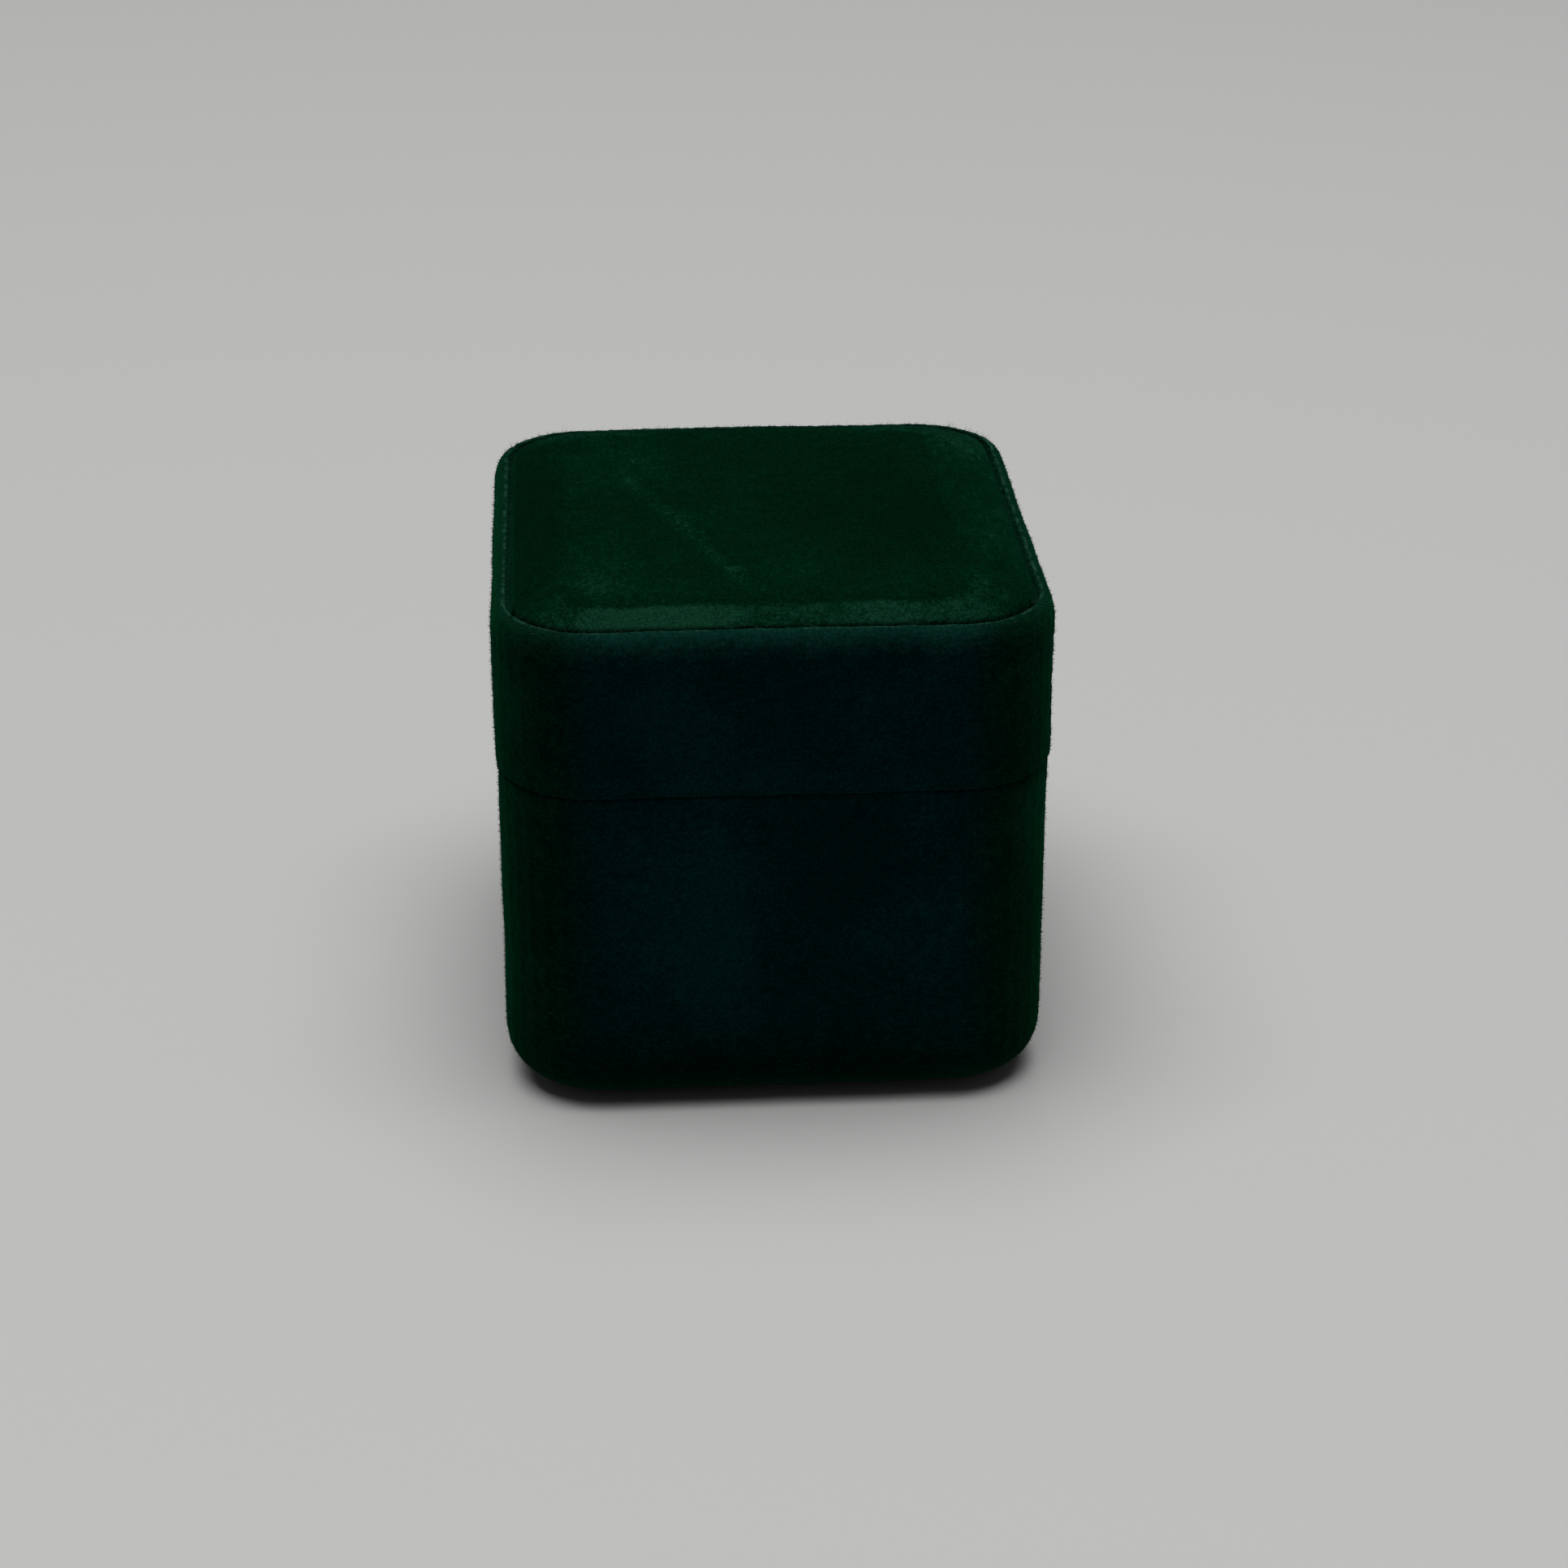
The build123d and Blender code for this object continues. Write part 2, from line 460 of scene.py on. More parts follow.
def creaseLine(paint, cloud):
    # a faint pressed line across the top
    way = creaseWay
    runX = way["to"][0] - way["from"][0]
    runY = way["to"][1] - way["from"][1]
    length = math.hypot(runX, runY)
    overX = paint.x - way["from"][0]
    overY = paint.y - way["from"][1]
    along = (overX * runX + overY * runY) * (1 / length)
    ragged = paint.noise(paint.inMm, 0.9, 3, 0.7)
    across = abs((overX * runY - overY * runX) * (1 / length) + cloud * 1.6 + ragged - 1.3)
    band = (1 - across.between(0, 2 * way["width"])) * ragged.between(0.25, 0.7)
    return band * along.between(0, 6) * (1 - along.between(length - 5, length)) * way["strength"]


def insideOf(paint, low, high, radius):
    # how far inside an upright rounded rectangle anywhere on the table a point is, in mm
    middle = (low + high) / 2
    half = (high - low) / 2
    overX = abs(paint.x - middle.x / mm) - (half.x - radius) / mm
    overY = abs(paint.y - middle.y / mm) - (half.y - radius) / mm
    outX = overX.atLeast(0)
    outY = overY.atLeast(0)
    return radius / mm - (outX * outX + outY * outY) ** 0.5 - overX.atLeast(overY).atMost(0)


def brushPile(paint, look, patches, cloud, strokes, tips):
    # how far the pile is brushed up: about 0 where only its tips show, 1 where it lies open
    mottle = paint.noise(paint.inMm, 0.75, 3, 0.7, 0.5)
    light = (look["level"] + (cloud - 0.5) * look["cloud"] + (strokes - 0.5) * look["strokes"]
             + (tips - 0.5) * look["tips"] + (mottle - 0.5) * look["mottle"])
    return napPatches(paint, patches, cloud) * look["nap"] + light


def finishPile(paint, look, colour, strokes, tips, shade=1):
    # darkens the colour between the tips and gives the pile its bumps and its sheen
    dark, gain = look["grain"]
    colour = paint.scaled(colour, (dark + tips.between(0.3, 0.75) * gain) * shade)
    normal = paint.bump(tips + strokes * 0.8, 0.6, 0.10 * mm)
    return paint.done(paint.surface(colour, 1.0, normal, Specular_IOR_Level=0.0,
                                    Sheen_Weight=look["sheen"], Sheen_Tint=look["tint"],
                                    Sheen_Roughness=look["sheenRoughness"]))


# on the outer top, the flag adds a pressed crease line, a painted highlight with opened pile on the
# rim, and painted shade where the panel dips behind the fold
def makeTopVelvet(name, patches, wearAndPaintedLight):
    paint = Paint(name)
    look = topLook
    cloud = paint.noise(paint.inMm, 0.16, 4, 0.62, 0.4)
    strokes = paint.noise(paint.stretched(1.0, 0.45, 1), 2.1, 3, 0.65, 0.3)
    tips = paint.noise(paint.inMm, 3.6, 2, 0.75)
    light = brushPile(paint, look, patches, cloud, strokes, tips)
    if wearAndPaintedLight:
        within = insideOf(paint, cardEdge["low"], cardEdge["high"], cardEdge["radius"])
        # painted highlight on the sloping rim, brightest at the front, together with patches of
        # opened pile
        rim = 1 - (within + cloud * 1.6 - 0.8).between(-0.5, 0.6)
        light = light + creaseLine(paint, cloud)
        light = light + rim * napPatches(paint, rimNapAndHighlight, cloud) * look["rimNapAndHighlight"]
    colour = paint.mix(light.between(-0.1, 0.55), look["deep"], look["mid"])
    colour = paint.mix(light.between(0.42, 1.15), colour, look["open"])
    if wearAndPaintedLight:
        # painted shade at the panel's lower edge, behind the fold
        creaseShade = 1 - (paint.z + strokes * 0.3 - 0.15).between(*look["seam"])
        colour = paint.mix(creaseShade * 0.85, colour, look["creaseShade"])
    return finishPile(paint, look, colour, strokes, tips)


def makeSideVelvet(name, patches):
    paint = Paint(name)
    look = sideLook
    cloud = paint.noise(paint.vector("ADD", paint.inMm, (31, 12, 5)), 0.14, 4, 0.62, 0.5)
    strokes = paint.noise(paint.stretched(0.45, 0.45, 1.0), 2.3, 3, 0.65, 0.3)
    tips = paint.noise(paint.inMm, 3.6, 2, 0.75)
    low, high = corners("lid_velvet_band")

    # painted sheen: greener over the corners, the left and right sides and the lower edge, where
    # the pile is seen at a grazing angle
    wander = cloud * 4 + strokes * 1.6 - 2.8
    sheenBendX = (abs(paint.x) + wander - (high.x / mm - look["sheenBendX"][0])).between(0, look["sheenBendX"][1])
    sheenBendY = (abs(paint.y) - (high.y / mm - look["sheenBendY"][0])).between(0, look["sheenBendY"][1])
    sideSheen = (abs(paint.x) - (high.x / mm - look["side"][0])).between(0, look["side"][1])
    foot = 1 - (paint.z + cloud * 2 - 1).between(*look["foot"])
    grazingSheen = (sheenBendX * sheenBendY * 0.9).atLeast(sideSheen * 0.75).atLeast(foot * 0.8)

    # painted shade: the lower edge is darkened
    light = brushPile(paint, look, patches, cloud, strokes, tips) - foot * 0.22
    # painted highlight: a lighter line along the turned-under lower edge, where light bounces up
    # from the table
    floorBounceLine = paint.z.between(0.5, 1.0) * (1 - paint.z.between(1.3, 2.4))
    light = (light + floorBounceLine * 0.4).between(-0.15, 0.95)
    colour = paint.mix(grazingSheen, paint.mix(light, look["flatReflectDeep"], look["flatReflectMid"]),
                       paint.mix(light, look["roundSheenDeep"], look["roundSheenOpen"]))
    # painted highlight up the shoulder, where it faces the lamp
    shoulder = (paint.z + cloud * 2.6 + strokes * 2.6 - 2.6).between(*look["rise"])
    colour = paint.mix(shoulder * 0.78, colour,
                       paint.mix(grazingSheen.atLeast(sideSheen), look["shoulder"], look["shoulderRoundHighlight"]))

    # the frayed cut edge, and painted shade in the crease behind it, on the fold
    jitter = strokes * 0.3 - 0.15
    within = insideOf(paint, low, high, lidBandWay["cornerRadius"]) + jitter
    lip = within.between(*look["cut"][:2]) * (1 - within.between(*look["cut"][2:]))
    torn = paint.noise(paint.stretched(1, 1, 3), 0.7, 4, 0.7).between(0.42, 0.62)
    onFold = paint.z.between(*look["fold"])
    colour = paint.mix(lip * onFold * torn, colour, look["cutEdge"])
    colour = paint.mix(within.between(*look["behindCut"]) * onFold * 0.85, colour, look["creaseShade"])

    # the butt seam down the middle of the back
    seam = (1 - (abs(paint.x) + jitter).between(*look["backSeam"]))
    seam = seam * paint.y.between(*look["backFrom"])
    return finishPile(paint, look, colour, strokes, tips, 1 - seam * 0.6)


def dress(piece, material, body, slot, *nodes):
    # the piece gets its material and takes the place of its CAD nodes
    piece.data.materials.clear()
    piece.data.materials.append(material)
    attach(piece, body)
    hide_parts(*nodes)


viewSet = {
    "lens": 78.9,
    "sensor": 36,
    "distance": 0.3297,
    "elevation": 25.12,     # degrees above the table
    "turn": 3.66,           # degrees to the left of the front
    "aside": -2.12 * mm,
    "rise": 3.79 * mm,
}


def placeCamera():
    elevation = math.radians(viewSet["elevation"])
    turn = math.radians(viewSet["turn"])
    centre = (Vector(cadBox[0]) + Vector(cadBox[1])) / 2
    forward = Vector((math.sin(turn) * math.cos(elevation), math.cos(turn) * math.cos(elevation),
                      -math.sin(elevation)))
    right = Vector((math.cos(turn), -math.sin(turn), 0))
    up = right.cross(forward)
    place = (centre - forward * viewSet["distance"] - right * viewSet["aside"]
             - up * viewSet["rise"])
    putDown()
    bpy.ops.object.camera_add(location=place, rotation=forward.to_track_quat('-Z', 'Y').to_euler())
    camera = bpy.context.object
    camera.data.lens = viewSet["lens"]
    camera.data.sensor_width = viewSet["sensor"]
    camera.data.clip_start = 0.01
    camera.data.clip_end = 60
    bpy.context.scene.camera = camera


lightSet = {
    "world": 0.045,
    "overhead": 19.4,       # watts
    "overheadSize": 1.4,
    "overheadPlace": (-0.05, -0.04, 1.6),
    "floor": (0.80, 0.80, 0.79),
}


def lightStudio():
    world = bpy.data.worlds.new("studioAir")
    bpy.context.scene.world = world
    world.use_nodes = True
    air = world.node_tree.nodes["Background"]
    air.inputs["Color"].default_value = (1, 1, 1, 1)
    air.inputs["Strength"].default_value = lightSet["world"]
    bpy.context.scene.view_settings.view_transform = 'Standard'
    putDown()
    place = Vector(lightSet["overheadPlace"])
    toBox = Vector((0, 0, 0.02)) - place
    bpy.ops.object.light_add(type='AREA', location=place,
                             rotation=toBox.to_track_quat('-Z', 'Y').to_euler())
    lamp = bpy.context.object.data
    lamp.energy = lightSet["overhead"]
    lamp.size = lightSet["overheadSize"]


def layFloor():
    putDown()
    bpy.ops.mesh.primitive_plane_add(size=40, location=(0, 0, 0))
    floor = bpy.context.object
    floor.name = "paleTable"
    settle(floor)
    paint = Paint("paleTable")
    colour = lightSet["floor"]
    floor.data.materials.append(paint.done(paint.surface(colour, 0.6, Specular_IOR_Level=0.2)))


placeCamera()
lightStudio()
layFloor()
print("camera, light and table are in place")


pileWay = {
    "cell": 2.2 * mm,
    "longest": 0.42 * mm,
    "softSize": 9 * mm,
    "softHeight": 0.22 * mm,
    "tuftSize": 0.55 * mm,
    "tuftHeight": 0.16 * mm,
}

baseBandWay = {
    "cornerRadius": 8.8 * mm,
    "rimRound": 0.26 * mm,
    "innerRound": 0.5 * mm,
    "wall": 3.2 * mm,           # from the outside to the collar
    "turnIn": 8 * mm,
    "footRound": 4.4 * mm,
    "footStep": 1.2 * mm,       # up to the bottom panel's bed
    "turnUnder": 3.4 * mm,
    "thickness": 0.6 * mm,
    "overlap": 0.03 * mm,       # closes the gap to the lid
    "unseen": 2.4 * mm,         # from here inward the mesh stays coarse
}

lidBandWay = {
    "cornerRadius": 9.0 * mm,
    "rimRound": 0.26 * mm,
    "innerRound": 0.5 * mm,
    "wall": 3.0 * mm,           # from the outside to the hollow
    "turnIn": 6 * mm,
    "shoulder": 2.4 * mm,
    "shoulderReach": 1.15 * mm,
    "proud": 0.1 * mm,          # the fold stands this much higher than its board
    "seam": [(0.15 * mm, -0.05 * mm), (0.14 * mm, -0.2 * mm), (0.05 * mm, -0.35 * mm)],
    "turnOver": 6.5 * mm,
    "thickness": 0.6 * mm,
    "overlap": 0.03 * mm,
    "unseen": 1.4 * mm,
}

neckWay = {
    "cornerRadius": 5.6 * mm,
    "rimRound": 0.55 * mm,
    "wall": 2.8 * mm,
    "innerRound": 0.55 * mm,
    "turnIn": 14 * mm,
    "thickness": 0.6 * mm,
    "unseen": 3 * mm,           # below the rim of the base
}


def rimSteps(way, rise):
    # over the rim: round the outer edge, across, round the inner edge and along the inside
    flat = way["wall"] - way["rimRound"] - way["innerRound"]
    return (quarterRound(way["rimRound"], rise * way["rimRound"], 4)
            + [(flat / 2, 0), (flat / 2, 0)]
            + turnIn(way["innerRound"], rise * way["innerRound"], 3)
            + [(0, -rise * (way["turnIn"] - way["innerRound"]))])


def raisePile(piece, coarse):
    # fine mesh where the pile shows, soft unevenness, and tufts
    way = pileWay
    refine(piece, way["longest"], coarse)
    ruffle(piece, piece.name + "Soft", way["softSize"], way["softHeight"], "skin")
    ruffle(piece, piece.name + "Tufts", way["tuftSize"], way["tuftHeight"], "skin")
    smoothShade(piece)


def deepInside(face, high, unseen):
    # faces behind the rim or under the floor, which nobody sees
    return all(abs(v.co.x) < high.x - unseen and abs(v.co.y) < high.y - unseen for v in face.verts)


def makeBaseBand():
    way = baseBandWay
    low, high = corners("base_velvet_band")
    low.z += way["footRound"]
    high.z -= way["rimRound"] - way["overlap"]
    piece = wallRing("baseVelvetBand", low, high, way["cornerRadius"], 8, pileWay["cell"])
    closeRing(piece)
    trace(piece, True, rimSteps(way, 1))
    trace(piece, False, quarterRound(way["footRound"], -way["footRound"], 6)
          + [(0, way["footStep"]), (way["turnUnder"], 0)])
    openCaps(piece)
    thicken(piece, way["thickness"])
    raisePile(piece, lambda face: deepInside(face, high, way["unseen"]))
    return piece


def makeLidBand():
    way = lidBandWay
    low, high = corners("lid_velvet_band")
    low.z += way["rimRound"] - way["overlap"]
    high.z -= way["shoulder"]
    piece = wallRing("lidVelvetBand", low, high, way["cornerRadius"], 8, pileWay["cell"])
    closeRing(piece)
    trace(piece, False, rimSteps(way, -1))
    trace(piece, True, quarterRound(way["shoulderReach"], way["shoulder"] + way["proud"], 6)
          + way["seam"] + [(way["turnOver"], 0)])
    openCaps(piece)
    thicken(piece, way["thickness"])
    raisePile(piece, lambda face: face.calc_center_median().z > high.z
              and deepInside(face, high, way["unseen"]))
    return piece


def makeNeckCover():
    way = neckWay
    low, high = corners("neck_velvet")
    high.z -= way["rimRound"]
    piece = wallRing("neckCover", low, high, way["cornerRadius"], 6, pileWay["cell"])
    closeRing(piece)
    trace(piece, True, rimSteps(way, 1))
    openCaps(piece)
    thicken(piece, way["thickness"])
    rim = corners("base_velvet_band")[1].z
    raisePile(piece, lambda face: face.calc_center_median().z < rim - way["unseen"])
    return piece


sideGreen = makeSideVelvet("sideVelvet", sideNap)
baseBand = makeBaseBand()
dress(baseBand, sideGreen, "base", "green_velvet", "base_velvet_band")
lidBand = makeLidBand()
dress(lidBand, sideGreen, "lid", "green_velvet", "lid_velvet_band")
neckCover = makeNeckCover()
dress(neckCover, sideGreen, "base", "green_velvet", "neck_velvet")
print("velvet bands are on")


clothWay = {
    "grow": 20,                 # simulated this many times larger, so that the forces behave
    "steps": 20,
    "quality": 4,
    "mass": 0.3,
    "stiffness": 12,
    "bending": 0.4,
}

topPanelWay = {
    "cornerRadius": 7.5 * mm,
    "cell": 2 * mm,
    "room": 0.05 * mm,          # clear of the fold all round
    "held": 0.3 * mm,           # glued down up to this height
    "side": 0.48 * mm,
    "slope": [(0.12 * mm, 0.24 * mm), (0.36 * mm, 0.25 * mm), (1.2 * mm, 0.22 * mm),
              (1.2 * mm, 0.19 * mm), (1.2 * mm, 0.14 * mm), (1.0 * mm, 0.05 * mm)],
    "crown": 0.28 * mm,
    "crownFrom": 0.6 * mm,      # above the side
    "voxel": 0.55 * mm,
    "pressure": 3,
    "cap": 0.25 * mm,
}


def puff(piece, way, held):
    # inflates the closed form as cloth; whatever is held stays where it is
    grow = clothWay["grow"]
    applyModifier(piece, "evenMesh", 'REMESH', mode='VOXEL', voxel_size=way["voxel"])
    piece.scale = (grow, grow, grow)
    settle(piece)
    start = [vertex.co.copy() for vertex in piece.data.vertices]
    pinned = piece.vertex_groups.new(name="held")
    pinned.add([n for n, co in enumerate(start) if held(co / grow)], 1, 'REPLACE')
    cloth = piece.modifiers.new("cloth", 'CLOTH')
    cloth.settings.quality = clothWay["quality"]
    cloth.settings.mass = clothWay["mass"]
    cloth.settings.tension_stiffness = clothWay["stiffness"]
    cloth.settings.compression_stiffness = clothWay["stiffness"]
    cloth.settings.bending_stiffness = clothWay["bending"]
    cloth.settings.use_pressure = True
    cloth.settings.uniform_pressure_force = way["pressure"]
    cloth.settings.shrink_min = way.get("slack", 0)
    cloth.settings.effector_weights.gravity = 0
    cloth.settings.vertex_group_mass = "held"
    cloth.collision_settings.use_collision = False
    for step in range(clothWay["steps"]):
        bpy.context.scene.frame_set(step + 1)
    swollen = piece.evaluated_get(bpy.context.evaluated_depsgraph_get())
    moved = [vertex.co.copy() for vertex in swollen.data.vertices]
    piece.modifiers.remove(cloth)
    for vertex, was, now in zip(piece.data.vertices, start, moved):
        shift = now - was
        limit = way["cap"] * grow
        if shift.length > limit:
            shift = shift.normalized() * limit
        vertex.co = was + shift
    bpy.context.scene.frame_set(1)
    piece.scale = (1 / grow, 1 / grow, 1 / grow)
    settle(piece)
    applyModifier(piece, "finer", 'SUBSURF', levels=1, render_levels=1)


def crownUp(piece, high, level, crown):
    # lifts everything above the level, most of all in the middle
    for vertex in piece.data.vertices:
        if vertex.co.z > level:
            across = 1 - (vertex.co.x / high.x) ** 2
            along = 1 - (vertex.co.y / high.y) ** 2
            vertex.co.z += crown * max(0, across) * max(0, along)


def makeTopPanel():
    way = topPanelWay
    low, high = corners("top_panel_velvet")
    high.z = low.z + way["side"]
    piece = wallRing("topPanelCover", *inset(low, high, way["room"]), way["cornerRadius"], 8,
                     way["cell"])
    closeRing(piece)
    trace(piece, True, way["slope"])
    putDown()
    puff(piece, way, lambda co: co.z < low.z + way["held"])
    crownUp(piece, high, high.z + way["crownFrom"], way["crown"])
    ruffle(piece, "topSoft", pileWay["softSize"], 0.7 * pileWay["softHeight"])
    ruffle(piece, "topTufts", pileWay["tuftSize"], pileWay["tuftHeight"])
    smoothShade(piece)
    return piece


bottomPanelWay = {
    "cornerRadius": 5.7 * mm,
    "cell": 2 * mm,
    "room": 0.06 * mm,
    "held": 0.4 * mm,
    "rest": 0.01 * mm,          # it lies flat at this height
    "side": 0.9 * mm,
    "slope": [(0.15 * mm, -0.3 * mm), (0.35 * mm, -0.3 * mm), (0.6 * mm, -0.25 * mm),
              (0.9 * mm, -0.15 * mm)],
    "voxel": 0.9 * mm,
    "pressure": 2,
    "cap": 0.1 * mm,
}


def makeBottomPanel():
    way = bottomPanelWay
    low, high = corners("bottom_panel_velvet")
    low.z = high.z - way["side"]
    piece = wallRing("bottomPanelCover", *inset(low, high, way["room"]), way["cornerRadius"], 8,
                     way["cell"])
    closeRing(piece)
    trace(piece, False, way["slope"])
    putDown()
    puff(piece, way, lambda co: co.z > high.z - way["held"])
    ruffle(piece, "bottomTufts", pileWay["tuftSize"], pileWay["tuftHeight"])
    for vertex in piece.data.vertices:
        vertex.co.z = max(vertex.co.z, way["rest"])
    smoothShade(piece)
    return piece


topGreen = makeTopVelvet("topVelvet", topNap, True)
innerGreen = makeTopVelvet("innerVelvet", innerNap, False)
topPanel = makeTopPanel()
dress(topPanel, topGreen, "lid", "green_velvet", "top_panel_velvet")
bottomPanel = makeBottomPanel()
dress(bottomPanel, sideGreen, "base", "green_velvet", "bottom_panel_velvet")
print("padded panels are on")


ringPadWay = {
    "room": 0.35 * mm,          # left for the swelling on each side
    "held": 2 * mm,             # glued down up to this height
    "outerCorner": 2.4 * mm,
    "slotCorner": 0.9 * mm,
    "lip": 3.2 * mm,
    "edge": 1.3 * mm,
    "voxel": 0.9 * mm,
    "pressure": 4,
    "cap": 0.45 * mm,
}


def makeRingPad(name, node, side):
    way = ringPadWay
    low, high = corners(node)
    putDown()
    low, high = inset(low, high, way["room"])
    high.z -= way["room"]
    bpy.ops.mesh.primitive_cube_add(size=1, location=(low + high) / 2, scale=high - low)
    piece = bpy.context.object
    piece.name = name
    settle(piece)
    takeUp(piece, 'EDIT')
    middle = (low.y + high.y) / 2

    def upright(edge, outer):
        away = (edge.verts[0].co.y - middle) * side > 0
        return abs(edge.verts[0].co.z - edge.verts[1].co.z) > 5 * mm and away == outer

    for outer, radius in ((True, way["outerCorner"]), (False, way["slotCorner"])):
        pick(piece, "edges", lambda edge: upright(edge, outer))
        bpy.ops.mesh.bevel(offset=radius, segments=4, affect='EDGES')
    slotY = low.y if side > 0 else high.y
    for atSlot, radius in ((True, way["lip"]), (False, way["edge"])):
        pick(piece, "edges", lambda edge: all(v.co.z > high.z - near for v in edge.verts)
             and (all(abs(v.co.y - slotY) < near for v in edge.verts) == atSlot))
        bpy.ops.mesh.bevel(offset=radius, segments=5, affect='EDGES')
    putDown()
    puff(piece, way, lambda co: co.z < low.z + way["held"])
    ruffle(piece, name + "Tufts", pileWay["tuftSize"], pileWay["tuftHeight"])
    smoothShade(piece)
    return piece


satinPadWay = {
    "room": 0.2 * mm,
    "held": 0.9 * mm,
    "corner": 5.5 * mm,
    "edge": 1.1 * mm,
    "voxel": 0.7 * mm,
    "pressure": 5,
    "slack": -0.04,
    "cap": 0.5 * mm,
}


def makeSatinPad():
    way = satinPadWay
    low, high = corners("lid_pad_satin")
    low, high = inset(low, high, way["room"])
    low.z += way["room"]
    putDown()
    bpy.ops.mesh.primitive_cube_add(size=1, location=(low + high) / 2, scale=high - low)
    piece = bpy.context.object
    piece.name = "lidSatinPad"
    settle(piece)
    takeUp(piece, 'EDIT')
    pick(piece, "edges", lambda edge: abs(edge.verts[0].co.z - edge.verts[1].co.z) > mm)
    bpy.ops.mesh.bevel(offset=way["corner"], segments=8, affect='EDGES')
    pick(piece, "edges", lambda edge: all(v.co.z < low.z + near for v in edge.verts))
    bpy.ops.mesh.bevel(offset=way["edge"], segments=4, affect='EDGES')
    putDown()
    puff(piece, way, lambda co: co.z > high.z - way["held"])
    smoothShade(piece)
    return piece


# painted shade and light of the folds: darker in the troughs, lighter on the crests
satinLook = {
    "fold": (0.60, 0.53, 0.38),
    "light": (0.78, 0.72, 0.58),
}

liningWay = {
    "room": 0.6 * mm,
    "cornerRadius": 6.0 * mm,
    "cell": 1.5 * mm,
    "thickness": 0.55 * mm,
    "softSize": 5 * mm,
    "softHeight": 0.12 * mm,
}


def makeSideLining():
    way = liningWay
    low, high = inset(*corners("lid_side_lining"), way["room"])
    piece = wallRing("lidSideLining", low, high, way["cornerRadius"], 8, way["cell"])
    putDown()
    applyModifier(piece, "thickness", 'SOLIDIFY', thickness=way["thickness"], offset=1)
    applyModifier(piece, "finer", 'SUBSURF', levels=1, render_levels=1, subdivision_type='SIMPLE')
    ruffle(piece, "liningSoft", way["softSize"], way["softHeight"])
    smoothShade(piece)
    return piece


def makeSatin():
    paint = Paint("ivorySatin")
    foldsAndShade = paint.noise(paint.stretched(1, 1, 0.25), 0.35, 3, 0.5, 0.8)
    threads = paint.noise(paint.stretched(1, 9, 1), 2.2, 2, 0.6)
    # the folds' painted shade darkens the satin's tone
    colour = paint.mix(foldsAndShade.between(0.3, 0.7), satinLook["fold"], satinLook["light"])
    normal = paint.bump(threads * 0.4 + foldsAndShade, 0.5, 0.25 * mm)
    surface = paint.surface(colour, 0.30 + threads * 0.2, normal, Sheen_Weight=0.3,
                            Sheen_Roughness=0.3, Specular_IOR_Level=0.6, Anisotropic=0.5)
    return paint.done(surface)


ivorySatin = makeSatin()
padFront = makeRingPad("ringPadFront", "ring_pad_velvet_front", -1)
dress(padFront, innerGreen, "base", "green_velvet", "ring_pad_velvet_front")
padBack = makeRingPad("ringPadBack", "ring_pad_velvet_back", 1)
dress(padBack, innerGreen, "base", "green_velvet", "ring_pad_velvet_back")
satinPad = makeSatinPad()
dress(satinPad, ivorySatin, "lid", "ivory_satin", "lid_pad_satin")
sideLining = makeSideLining()
dress(sideLining, ivorySatin, "lid", "ivory_satin", "lid_side_lining")
print("inside is lined and padded")


foamWay = {
    "room": 1.2 * mm,           # clear of the cover all round
    "lift": 0.04 * mm,          # off the card under it
    "voxel": 0.6 * mm,
    "leastThick": 2.4 * mm,     # a thinner sheet is meshed this thick, then pressed flat again
    "grainSize": 1.1 * mm,
    "grainHeight": 0.12 * mm,
    "blocks": [                 # piece, node, body, edge, corner
        ("ringPadFoamFront", "ring_pad_foam_front", "base", 0.8 * mm, 2.0 * mm),
        ("ringPadFoamBack", "ring_pad_foam_back", "base", 0.8 * mm, 2.0 * mm),
        ("lidPadFoam", "lid_pad_foam", "lid", 0.8 * mm, 4.5 * mm),
    ],
    "sheets": [
        ("topPanelWadding", "top_panel_padding", "lid", 1.0 * mm, 6.5 * mm),
        ("bottomPanelWadding", "bottom_panel_padding", "base", 1.0 * mm, 5.0 * mm),
    ],
}


def makeFoam(name, node, edge, corner):
    # a block cut from a sheet, with its edges pressed round
    way = foamWay
    low, high = inset(*corners(node), way["room"])
    low.z += way["lift"]
    high.z -= min(way["room"], 0.3 * (high.z - low.z))
    putDown()
    bpy.ops.mesh.primitive_cube_add(size=1, location=(low + high) / 2, scale=high - low)
    piece = bpy.context.object
    piece.name = name
    settle(piece)
    takeUp(piece, 'EDIT')
    thick = high.z - low.z
    pick(piece, "edges", lambda edge: abs(edge.verts[0].co.z - edge.verts[1].co.z) > 0.5 * thick)
    bpy.ops.mesh.bevel(offset=corner, segments=6, affect='EDGES')
    pick(piece, "edges", lambda edge: all(v.co.z > high.z - near for v in edge.verts))
    bpy.ops.mesh.bevel(offset=min(edge, 0.4 * thick), segments=3, affect='EDGES')
    putDown()
    squeeze = max(1, way["leastThick"] / thick)
    piece.scale.z = squeeze
    settle(piece)
    applyModifier(piece, "evenMesh", 'REMESH', mode='VOXEL', voxel_size=way["voxel"])
    piece.scale.z = 1 / squeeze
    settle(piece)
    ruffle(piece, name + "Grain", way["grainSize"], min(way["grainHeight"], thick / 6))
    smoothShade(piece)
    return piece


def makeFoamPaint(name, colour, scale):
    paint = Paint(name)
    cells = paint.node("ShaderNodeTexVoronoi", {}, {"Vector": paint.inMm, "Scale": scale},
                       "Distance")
    tone = paint.scaled(colour, 0.75 + cells * 0.4)
    return paint.done(paint.surface(tone, 0.95, paint.bump(cells, 0.6, 0.15 * mm),
                                    Specular_IOR_Level=0.1))


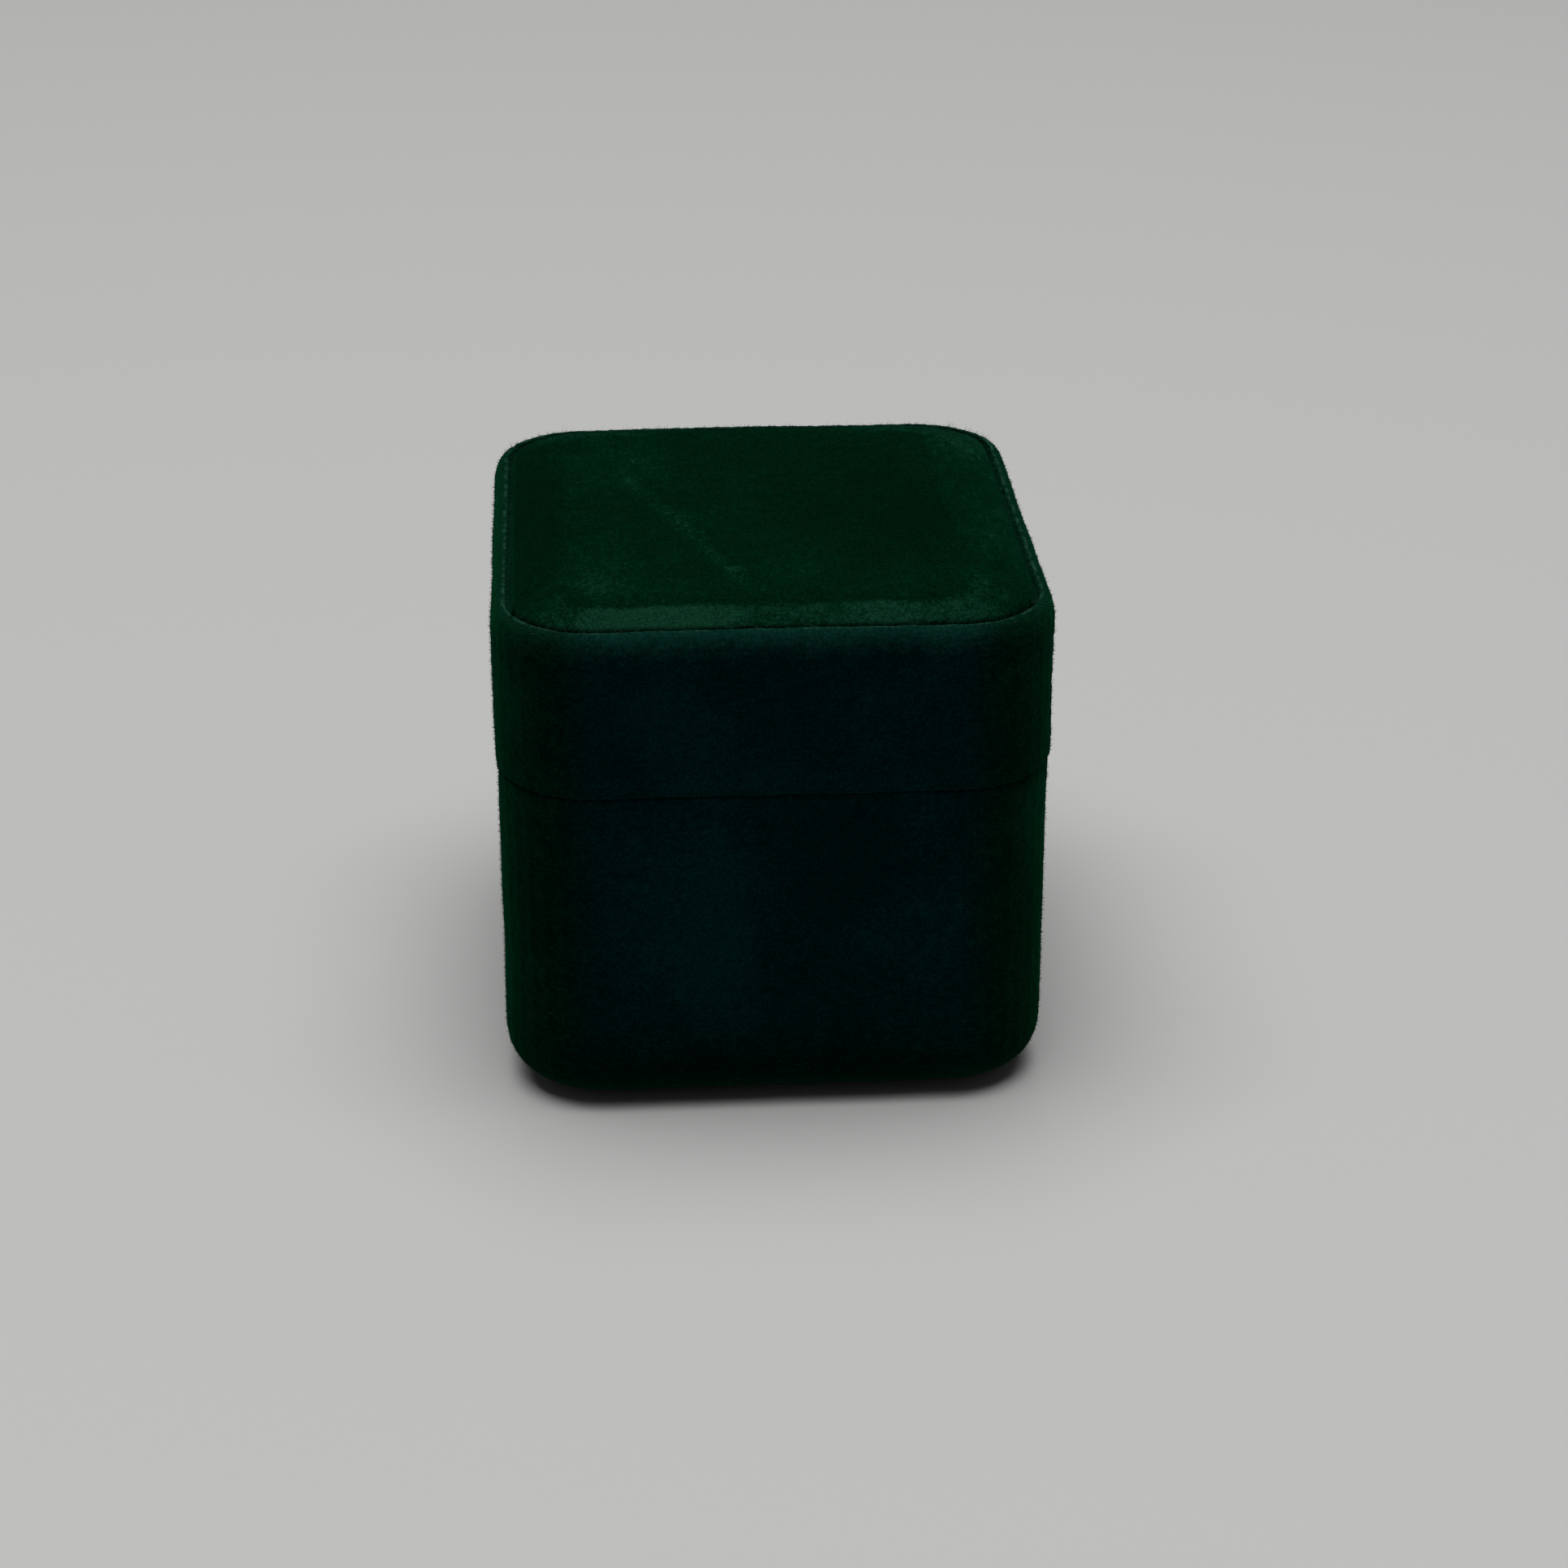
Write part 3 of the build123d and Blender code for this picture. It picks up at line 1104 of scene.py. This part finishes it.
def makeBoardPaint(name, light, dark, flecks):
    # pressed paper: cloudy tone, long fibres and dark flecks
    paint = Paint(name)
    cloud = paint.noise(paint.inMm, 0.25, 3, 0.6)
    fibre = paint.noise(paint.stretched(1, 6, 6), 1.4, 3, 0.65, 0.7)
    fleck = paint.noise(paint.inMm, 3.1, 1, 0.4).between(0.66, 0.72)
    tone = paint.mix(cloud * 0.6 + fibre * 0.4, dark, light)
    tone = paint.mix(fleck * flecks, tone, dark)
    return paint.done(paint.surface(tone, 0.9, paint.bump(fibre + cloud, 0.35, 0.08 * mm),
                                    Specular_IOR_Level=0.15))


padFoam = makeFoamPaint("padFoam", (0.60, 0.57, 0.49), 2.6)
wadding = makeFoamPaint("wadding", (0.74, 0.74, 0.71), 1.3)
greyBoard = makeBoardPaint("greyBoard", (0.24, 0.22, 0.195), (0.12, 0.11, 0.095), 0.7)
whiteCard = makeBoardPaint("whiteCard", (0.70, 0.68, 0.62), (0.52, 0.50, 0.44), 0.35)

for name, node, body, edge, corner in foamWay["blocks"]:
    dress(makeFoam(name, node, edge, corner), padFoam, body, "foam", node)
for name, node, body, edge, corner in foamWay["sheets"]:
    dress(makeFoam(name, node, edge, corner), wadding, body, "wadding", node)

topCardWay = {
    "room": 0.4 * mm,           # cut this much smaller than the panel's cover leaves
    "corner": 6.3 * mm,
    "cell": 3 * mm,
    "edge": 0.12 * mm,
}


def makeTopCard():
    # the stiff card that gives the top panel its flat middle
    way = topCardWay
    low, high = inset(*corners("top_panel_card"), way["room"])
    piece = wallRing("topPanelCard", low, high, way["corner"], 8, way["cell"])
    closeRing(piece)
    for level in (low.z, high.z):
        pick(piece, "edges", lambda edge: all(abs(v.co.z - level) < near for v in edge.verts))
        bpy.ops.mesh.bevel(offset=way["edge"], segments=2, affect='EDGES')
    putDown()
    return piece


boards = {"grey_board": greyBoard, "card": whiteCard}
dress(makeTopCard(), whiteCard, "lid", "card", "top_panel_card")
for part in frame["record"]["subparts"]:
    if part["material_slot"] in boards and part["node"] != "top_panel_card":
        node = frame["nodes"][part["node"]]
        node.data.materials.clear()
        node.data.materials.append(boards[part["material_slot"]])
print("foam, wadding and boards are finished")


fibreWay = {
    "seed": 11,
    "rooted": 0.02 * mm,        # this deep in the pile
    "farOut": 4 * mm,           # how far a face looks away from the middle of the box
    "thick": 0.024 * mm,
    "short": 0.16 * mm,
    "long": 0.40 * mm,
    "lean": 0.55,
    "perSquareMm": 5.0,
    "dark": (0.0010, 0.016, 0.009),
    "light": (0.0050, 0.042, 0.023),
}

frayWay = {
    "below": 0.35 * mm,         # how far under the top of the fold it starts
    "from": 1.1 * mm,           # inward from the outside
    "to": 3.6 * mm,
    "thick": 0.016 * mm,
    "short": 0.3 * mm,
    "long": 0.95 * mm,
    "lean": 0.9,
    "perSquareMm": 7.0,
    "dark": (0.010, 0.050, 0.030),
    "light": (0.045, 0.130, 0.085),
}


def modelFibre():
    # one pointed hair, a metre long and a metre thick, pointing up
    putDown()
    bpy.ops.mesh.primitive_cone_add(vertices=3, radius1=1, radius2=0, depth=1,
                                    location=(0, 0, 0.5))
    hair = bpy.context.object
    settle(hair)
    points = [vertex.co.copy() for vertex in hair.data.vertices]
    faces = [tuple(face.vertices) for face in hair.data.polygons]
    takeUp(hair)
    bpy.ops.object.delete()
    return points, faces


def plantFibres(name, ground, body, way, showing, seed, paint):
    # copies of the fibre on the faces that show, each leaning its own way, in one mesh
    chance = random.Random(seed)
    hair, hairFaces = modelFibre()
    points = []
    faces = []
    for face in ground.data.polygons:
        if not showing(face):
            continue
        ends = [ground.data.vertices[n].co for n in face.vertices]
        for each in range(int(face.area / (mm * mm) * way["perSquareMm"] + chance.random())):
            first, second = chance.random(), chance.random()
            if len(ends) == 4:
                foot = ends[0].lerp(ends[1], first).lerp(ends[3].lerp(ends[2], first), second)
            else:
                if first + second > 1:
                    first, second = 1 - first, 1 - second
                foot = ends[0] + (ends[1] - ends[0]) * first + (ends[2] - ends[0]) * second
            aim = face.normal + Vector([chance.gauss(0, way["lean"]) for axis in range(3)])
            turn = aim.to_track_quat('Z', 'Y').to_matrix()
            length = chance.uniform(way["short"], way["long"])
            start = len(points)
            foot = foot - face.normal * fibreWay["rooted"]
            points += [foot + turn @ Vector((co.x * way["thick"], co.y * way["thick"],
                                             co.z * length)) for co in hair]
            faces += [[start + n for n in corner] for corner in hairFaces]
    data = bpy.data.meshes.new(name)
    data.from_pydata(points, [], faces)
    piece = bpy.data.objects.new(name, data)
    bpy.context.scene.collection.objects.link(piece)
    piece.data.materials.append(paint)
    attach(piece, body)


def makeHairPaint(name, way):
    paint = Paint(name)
    tips = paint.noise(paint.inMm, 1.3, 2, 0.6)
    colour = paint.mix(tips.between(0.35, 0.65), way["dark"], way["light"])
    return paint.done(paint.surface(colour, 0.8, Specular_IOR_Level=0.1))


lipHigh = corners("lid_velvet_band")[1]


def onLip(face):
    # the cut edge of the velvet where it dips under the top panel
    inward = min(lipHigh.x - abs(face.center.x), lipHigh.y - abs(face.center.y))
    return (face.center.z > lipHigh.z - frayWay["below"] and face.normal.z > 0.2
            and frayWay["from"] < inward < frayWay["to"])


def facesOut(face):
    # only the outer sides: pointing away from the middle of the box
    centre = face.center
    return face.normal.x * centre.x + face.normal.y * centre.y > fibreWay["farOut"]


def facesUp(face):
    return face.normal.z > 0


seed = fibreWay["seed"]
standing = makeHairPaint("standingFibre", fibreWay)
frayed = makeHairPaint("frayedEdge", frayWay)
plantFibres("lidFibres", lidBand, "lid", fibreWay, facesOut, seed, standing)
plantFibres("baseFibres", baseBand, "base", fibreWay, facesOut, seed + 1, standing)
plantFibres("topFibres", topPanel, "lid", fibreWay, facesUp, seed + 2, standing)
plantFibres("seamFray", lidBand, "lid", frayWay, onLip, seed + 3, frayed)
print("fibres stand out of the pile")
